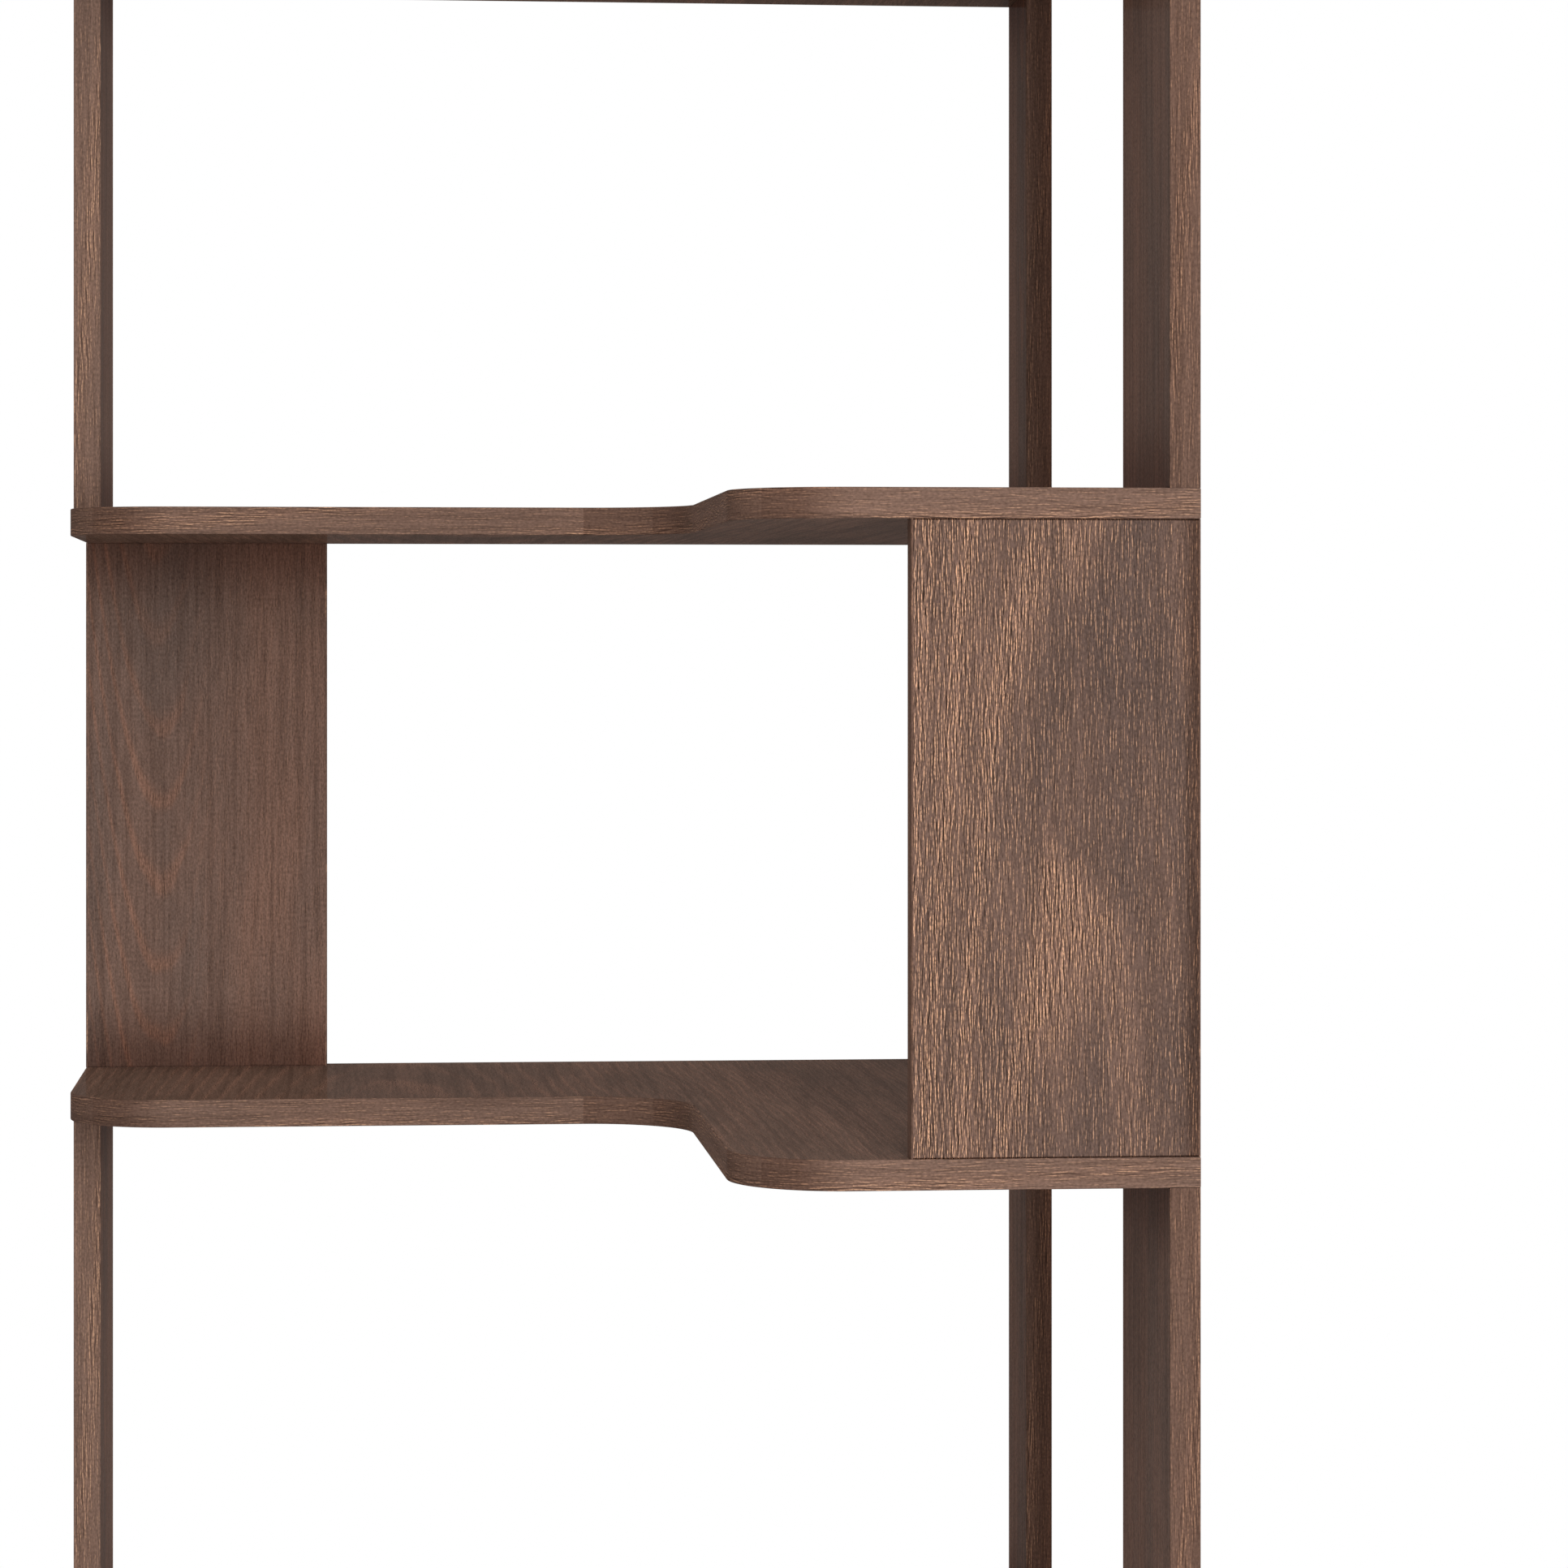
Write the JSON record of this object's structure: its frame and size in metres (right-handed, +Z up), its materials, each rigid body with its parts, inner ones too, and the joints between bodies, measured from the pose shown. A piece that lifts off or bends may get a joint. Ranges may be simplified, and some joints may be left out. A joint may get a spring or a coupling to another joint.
{
  "type": "corner bookcase",
  "caption": "Tall open corner bookcase with L-shaped shelves, rounded at the wing ends, on narrow uprights that turn by a quarter turn from tier to tier.",
  "frame": {"origin": "on the floor, under the middle of the square that the L-shaped plan fills", "axes": "+Z up, +Y to the back wall, +X to the right wall, -Y to the front"},
  "size_m": [0.6, 0.6, 1.74],
  "materials": {
    "walnut_board": "dark walnut, satin, grained",
    "walnut_edge": "dark walnut edge strip, satin, grain along the edge",
    "zinc": "dull die-cast zinc",
    "steel": "bright zinc plate",
    "beech": "raw beech",
    "glide_plastic": "dark brown moulded plastic"
  },
  "bodies": {
    "root": {"shelf_1": "walnut_board", "shelf_2": "walnut_board", "shelf_3": "walnut_board", "shelf_4": "walnut_board", "shelf_5": "walnut_board", "shelf_6": "walnut_board", "tier_1_left_board": "walnut_board", "tier_1_right_board": "walnut_board", "tier_1_corner_board": "walnut_board", "tier_2_left_board": "walnut_board", "tier_2_right_board": "walnut_board", "tier_2_corner_board": "walnut_board", "tier_3_left_board": "walnut_board", "tier_3_right_board": "walnut_board", "tier_3_corner_board": "walnut_board", "tier_4_left_board": "walnut_board", "tier_4_right_board": "walnut_board", "tier_4_corner_board": "walnut_board", "tier_5_left_board": "walnut_board", "tier_5_right_board": "walnut_board", "tier_5_corner_board": "walnut_board", "shelf_1_edge_bands": "walnut_edge", "shelf_2_edge_bands": "walnut_edge", "shelf_3_edge_bands": "walnut_edge", "shelf_4_edge_bands": "walnut_edge", "shelf_5_edge_bands": "walnut_edge", "shelf_6_edge_bands": "walnut_edge", "tier_1_board_bands": "walnut_edge", "tier_2_board_bands": "walnut_edge", "tier_3_board_bands": "walnut_edge", "tier_4_board_bands": "walnut_edge", "tier_5_board_bands": "walnut_edge", "cam_locks": "zinc", "cam_bolts": "steel", "wooden_dowels": "beech", "glides": "glide_plastic"}
  },
  "joints": []
}
